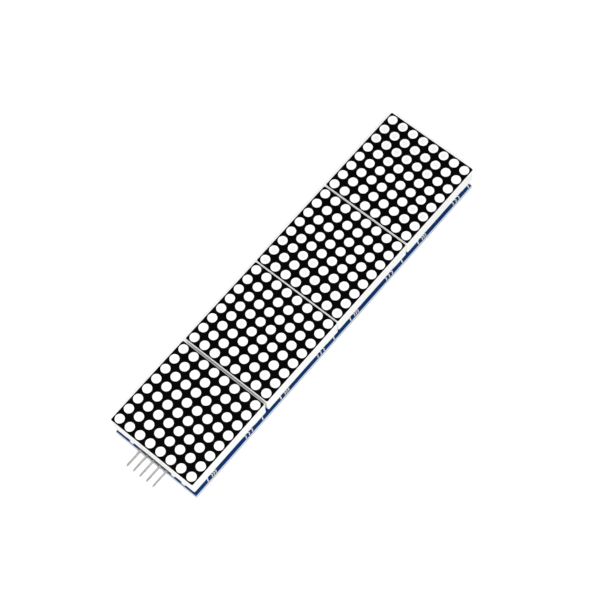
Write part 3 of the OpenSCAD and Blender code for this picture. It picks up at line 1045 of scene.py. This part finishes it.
def pin_lines():
    """From each socket pin towards the chip, with one bend, to a via."""
    lines = []
    for n in SECTIONS:
        for side in (-1, 1):
            for i, x in enumerate(steps(ROW_PINS, PIN_STEP)):
                lean = (0.8 if i % 2 else -0.8) * MM
                start = CENTRES[n].y + side * (ROW_SPAN / 2 - SOLDER_D / 2)
                bend = CENTRES[n].y + side * (7.6 + 0.5 * (i % 3)) * MM
                end = bend - side * abs(lean)
                px = CENTRES[n].x + x
                last = end - side * 1.2 * MM
                lines.append([(px, start), (px, bend), (px + lean, end), (px + lean, last)])
    return lines


def signal_lines():
    """Three lines down the middle, which step aside once in each section."""
    lines = []
    for y in steps(3, HEADER_STEP):
        level = HEADER_Y + y
        path = [(-END_X, level)]
        for n in SECTIONS:
            jog = (1.27 if n % 2 else -1.27) * MM
            x = CENTRES[n].x
            path += [(x - 12 * MM, level), (x - 12 * MM + abs(jog), level + jog),
                     (x + 12 * MM - abs(jog), level + jog), (x + 12 * MM, level)]
        path.append((END_X, level))
        lines.append(path)
    return lines


def via_places(z):
    return [(*line[-1], z) for line in pin_lines()]


for face, surface, way in (("top", BOARD_TOP, 1), ("back", BOARD_BACK, -1)):
    level = surface + way * LINE_T / 2
    grow(f"pin_lines_{face}", lines_mesh(pin_lines(), level), STROKE, "board", COPPER_LACQUER,
         Width=0.3 * MM, Thickness=LINE_T)
    grow(f"vias_{face}", points_mesh(via_places(surface + way * LINE_T * 0.7)), RING, "board",
         COPPER_LACQUER, Inner_Diameter=0.3 * MM, Outer_Diameter=0.7 * MM,
         Thickness=LINE_T * 1.4, Sides=16)
level = BOARD_BACK - LINE_T / 2
grow("signal_lines", lines_mesh(signal_lines(), level), STROKE, "board", COPPER_LACQUER,
     Width=0.3 * MM, Thickness=LINE_T)
grow("power_rails", lines_mesh([[(-END_X, y), (END_X, y)] for y in RAIL_Y], level), STROKE,
     "board", COPPER_LACQUER, Width=1.3 * MM, Thickness=LINE_T * 1.1)

# %% [markdown]
# ### Pads and solder at the chips
#
# Each lead of a chip stands on a tinned pad in a small heap of solder that climbs its sides. The
# chip capacitors and resistors have a pad and a heap at each end.

# %% Pads and solder at the chips
CHIP_PARTS = ["bulk_capacitor", "bypass_capacitor", "set_resistor"]
FOOT_IN = 0.45 * MM
CHIP_ROW_Y = 8.0 * MM
PART_PAD_HALF = 0.45 * MM
LEAD_PAD_HALF = 0.75 * MM


def lead_feet(z):
    return [
        (CENTRES[n].x + x, CENTRES[n].y + side * (LEAD_SPAN / 2 - FOOT_IN), z)
        for n in SECTIONS for side in (-1, 1) for x in steps(LEADS, LEAD_STEP)
    ]


def part_centres(kind):
    """Where a kind of chip part stands in each section, from the first one's offset."""
    low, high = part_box(kind + "s")
    first = CENTRES[1]
    last = CENTRES[4]
    half = ((high.x - low.x) - (last.x - first.x)) / 2
    offset = low.x + half - first.x
    sign = -1 if kind == "set_resistor" else 1
    return half, [(CENTRES[n].x + offset, CENTRES[n].y + sign * CHIP_ROW_Y) for n in SECTIONS]


def part_ends(kind, z):
    half, centres = part_centres(kind)
    return [(x + end * half, y, z) for x, y in centres for end in (-1, 1)]


pad_z = BOARD_TOP + COPPER_T / 2
pads = [[(x, y - LEAD_PAD_HALF), (x, y + LEAD_PAD_HALF)] for x, y, _ in lead_feet(0)]
grow("lead_pads", lines_mesh(pads, pad_z), STROKE, "contact", TINNED_PAD,
     Width=0.6 * MM, Thickness=COPPER_T)
part_pads = []
for kind in CHIP_PARTS:
    part_pads += [[(x - PART_PAD_HALF, y), (x + PART_PAD_HALF, y)] for x, y, _ in part_ends(kind, 0)]
grow("part_pads", lines_mesh(part_pads, pad_z), STROKE, "contact", TINNED_PAD,
     Width=1.3 * MM, Thickness=COPPER_T)
grow("lead_solder", points_mesh(lead_feet(BOARD_TOP)), HEAP, "solder", SOLDER,
     Length=1.5 * MM, Width=0.62 * MM, Height=0.24 * MM)
grow("part_solder", points_mesh([p for k in CHIP_PARTS for p in part_ends(k, BOARD_TOP)]), HEAP,
     "solder", SOLDER, Length=1.15 * MM, Width=0.9 * MM, Height=0.4 * MM)

# %% [markdown]
# ### Print
#
# A board carries white print: outlines of the parts, marks along the edge for lining things up, and
# plain numbers at the pins. The marks here are ticks, chevrons and short bars, set out once for a
# section and repeated along the board.

# %% Printed strokes
PRINT_T = 0.02 * MM
EDGE_Y = -15.05 * MM


def box_path(x, y, half_x, half_y):
    corners = ((-1, -1), (1, -1), (1, 1), (-1, 1), (-1, -1))
    return [(x + a * half_x, y + b * half_y) for a, b in corners]


def chevron(x, y, height):
    """A chevron that points along the board, from the input end to the output end."""
    half = height / 2
    return [(x - half / 2, y + half), (x + half / 2, y), (x - half / 2, y - half)]


def tick(x, y, lean, height):
    return [(x - lean / 2, y - height / 2), (x + lean / 2, y + height / 2)]


def edge_marks():
    """The marks that show along the near edge, below the displays."""
    marks = []
    for n in SECTIONS:
        x = CENTRES[n].x
        marks += [tick(x + d * MM, EDGE_Y, 0.7 * MM, 1.2 * MM) for d in (-9.9, 14.6)]
        marks += [chevron(x + d * MM, EDGE_Y, 1.1 * MM) for d in (-8.1, -7.3, -6.5)]
        marks += [chevron(x + d * MM, EDGE_Y, 1.2 * MM) for d in (7.0, 8.4, 9.8)]
    return marks


def end_marks():
    """Short bars at the input end, either side of the header."""
    x = -BOARD_SIZE.x / 2 + 0.7 * MM
    return [[(x, y * MM), (x, (y + 1.4) * MM)] for y in (9.2, -7.1, -11.2)]


def part_outlines():
    paths = []
    for n in SECTIONS:
        paths.append(box_path(CENTRES[n].x, CENTRES[n].y, 8.3 * MM, 3.4 * MM))
    for kind in CHIP_PARTS:
        half, centres = part_centres(kind)
        paths += [box_path(x, y, half + 0.7 * MM, 1.1 * MM) for x, y in centres]
    return paths


grow("edge_marks", lines_mesh(edge_marks(), BOARD_TOP + PRINT_T / 2), STROKE, "board", WHITE_PRINT,
     Width=0.33 * MM, Thickness=PRINT_T)
grow("end_marks", lines_mesh(end_marks(), BOARD_TOP + PRINT_T / 2), STROKE, "board", WHITE_PRINT,
     Width=0.5 * MM, Thickness=PRINT_T)
grow("part_outlines", lines_mesh(part_outlines(), BOARD_TOP + PRINT_T / 2), STROKE, "board",
     WHITE_PRINT, Width=0.15 * MM, Thickness=PRINT_T)

# %% [markdown]
# The back has an outline round each row of socket pins, and in each section a pair of chevrons that
# says which way the signals run. The numbers count the five pins at either end and the four
# sections. Numbers on the back are turned over, so that they read from behind.

# %% Print on the back, and numbers


BACK_LABEL_Y = -6.0 * MM
SECTION_CHEVRONS = (3.0, 4.6)
PIN_LABEL_IN = 2.3 * MM


def back_marks():
    paths = []
    for n in SECTIONS:
        x, y = CENTRES[n].x, CENTRES[n].y
        for side in (-1, 1):
            row_y = y + side * ROW_SPAN / 2
            paths.append(box_path(x, row_y, ROW_PINS * PIN_STEP / 2 + 0.3 * MM, 1.35 * MM))
        paths += [chevron(x + d * MM, y + BACK_LABEL_Y, 1.6 * MM) for d in SECTION_CHEVRONS]
    return paths


def number_mesh(figure, size):
    curve = bpy.data.curves.new("figure", "FONT")
    curve.body = figure
    curve.size = size
    curve.extrude = PRINT_T / 2
    curve.align_x = "CENTER"
    curve.align_y = "CENTER"
    holder = bpy.data.objects.new("figure", curve)
    scene.collection.objects.link(holder)
    done = holder.evaluated_get(bpy.context.evaluated_depsgraph_get())
    mesh = bpy.data.meshes.new_from_object(done)
    bpy.data.objects.remove(holder)
    return mesh


def numbers(name, marks, size, z, over):
    """Joins plain figures into one piece. over turns them to be read from behind."""
    spots, faces = [], []
    turn = Matrix.Rotation(math.pi, 4, "X") if over else Matrix.Identity(4)
    for figure, x, y in marks:
        mesh = number_mesh(figure, size)
        place = Matrix.Translation((x, y, z)) @ turn
        first = len(spots)
        spots += [tuple(place @ v.co) for v in mesh.vertices]
        faces += [tuple(first + i for i in face.vertices) for face in mesh.polygons]
    joined = bpy.data.meshes.new(name)
    joined.from_pydata(spots, [], faces)
    joined.materials.append(WHITE_PRINT)
    joined.update()
    return add_piece(name, joined)


back_print_z = BOARD_BACK - PRINT_T / 2
pin_marks = [
    (str(i + 1), end * (-HEADER_X - PIN_LABEL_IN), HEADER_Y + y)
    for end in (-1, 1) for i, y in enumerate(steps(HEADER_PINS, HEADER_STEP))
]
section_marks = [(str(n), CENTRES[n].x, CENTRES[n].y + BACK_LABEL_Y) for n in SECTIONS]
grow("back_marks", lines_mesh(back_marks(), back_print_z), STROKE, "board", WHITE_PRINT,
     Width=0.2 * MM, Thickness=PRINT_T)
numbers("pin_numbers_back", pin_marks, 1.5 * MM, back_print_z, True)
numbers("section_numbers_back", section_marks, 2.6 * MM, back_print_z, True)
numbers("pin_numbers_top", pin_marks, 1.5 * MM, BOARD_TOP + PRINT_T / 2, False)

# %% [markdown]
# ### The skin of each dot
#
# Resin shrinks as it sets, so the surface of a dot is slightly dished and climbs at its rim. Each
# dot gets that skin as a thin dished disc, whose rim stays just below the black face.

# %% Dished skins of the dots
DISH = 0.022 * MM
RESIN_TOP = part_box("resin_1")[1].z


def make_dish_tree():
    tree, given = new_tree("dish", ["Radius", "Thickness", "Dish"])
    disc = tree.nodes.new("GeometryNodeMeshCylinder")
    disc.inputs["Vertices"].default_value = 24
    disc.inputs["Fill Segments"].default_value = 3
    disc.inputs["Depth"].default_value = 1.0
    disc.inputs["Radius"].default_value = 1.0
    place = tree.nodes.new("GeometryNodeInputPosition").outputs[0]
    x, y, z = axes_of(tree, place)
    out = sum_node(tree, "ADD", sum_node(tree, "MULTIPLY", x, x), sum_node(tree, "MULTIPLY", y, y))
    top = sum_node(tree, "GREATER_THAN", z, 0.0)
    rise = sum_node(tree, "MULTIPLY", sum_node(tree, "MULTIPLY", out, top), given["Dish"])
    level = sum_node(tree, "MULTIPLY", top, given["Thickness"])
    spot = tree.nodes.new("ShaderNodeCombineXYZ")
    feed(tree, sum_node(tree, "MULTIPLY", x, given["Radius"]), spot.inputs[0])
    feed(tree, sum_node(tree, "MULTIPLY", y, given["Radius"]), spot.inputs[1])
    feed(tree, sum_node(tree, "ADD", rise, level), spot.inputs[2])
    shape = tree.nodes.new("GeometryNodeSetPosition")
    tree.links.new(disc.outputs["Mesh"], shape.inputs["Geometry"])
    tree.links.new(spot.outputs[0], shape.inputs["Position"])
    close_tree(tree, given, on_points(tree, given, shape.outputs[0]))
    return tree


DISH_TREE = make_dish_tree()
for n in SECTIONS:
    spots = [(CENTRES[n].x + x, CENTRES[n].y + y, RESIN_TOP)
             for x in steps(DOTS, DOT_STEP) for y in steps(DOTS, DOT_STEP)]
    grow(f"dot_skins_{n}", points_mesh(spots), DISH_TREE, "resin", RESIN[n],
         Radius=DOT_D / 2, Thickness=0.003 * MM, Dish=DISH)
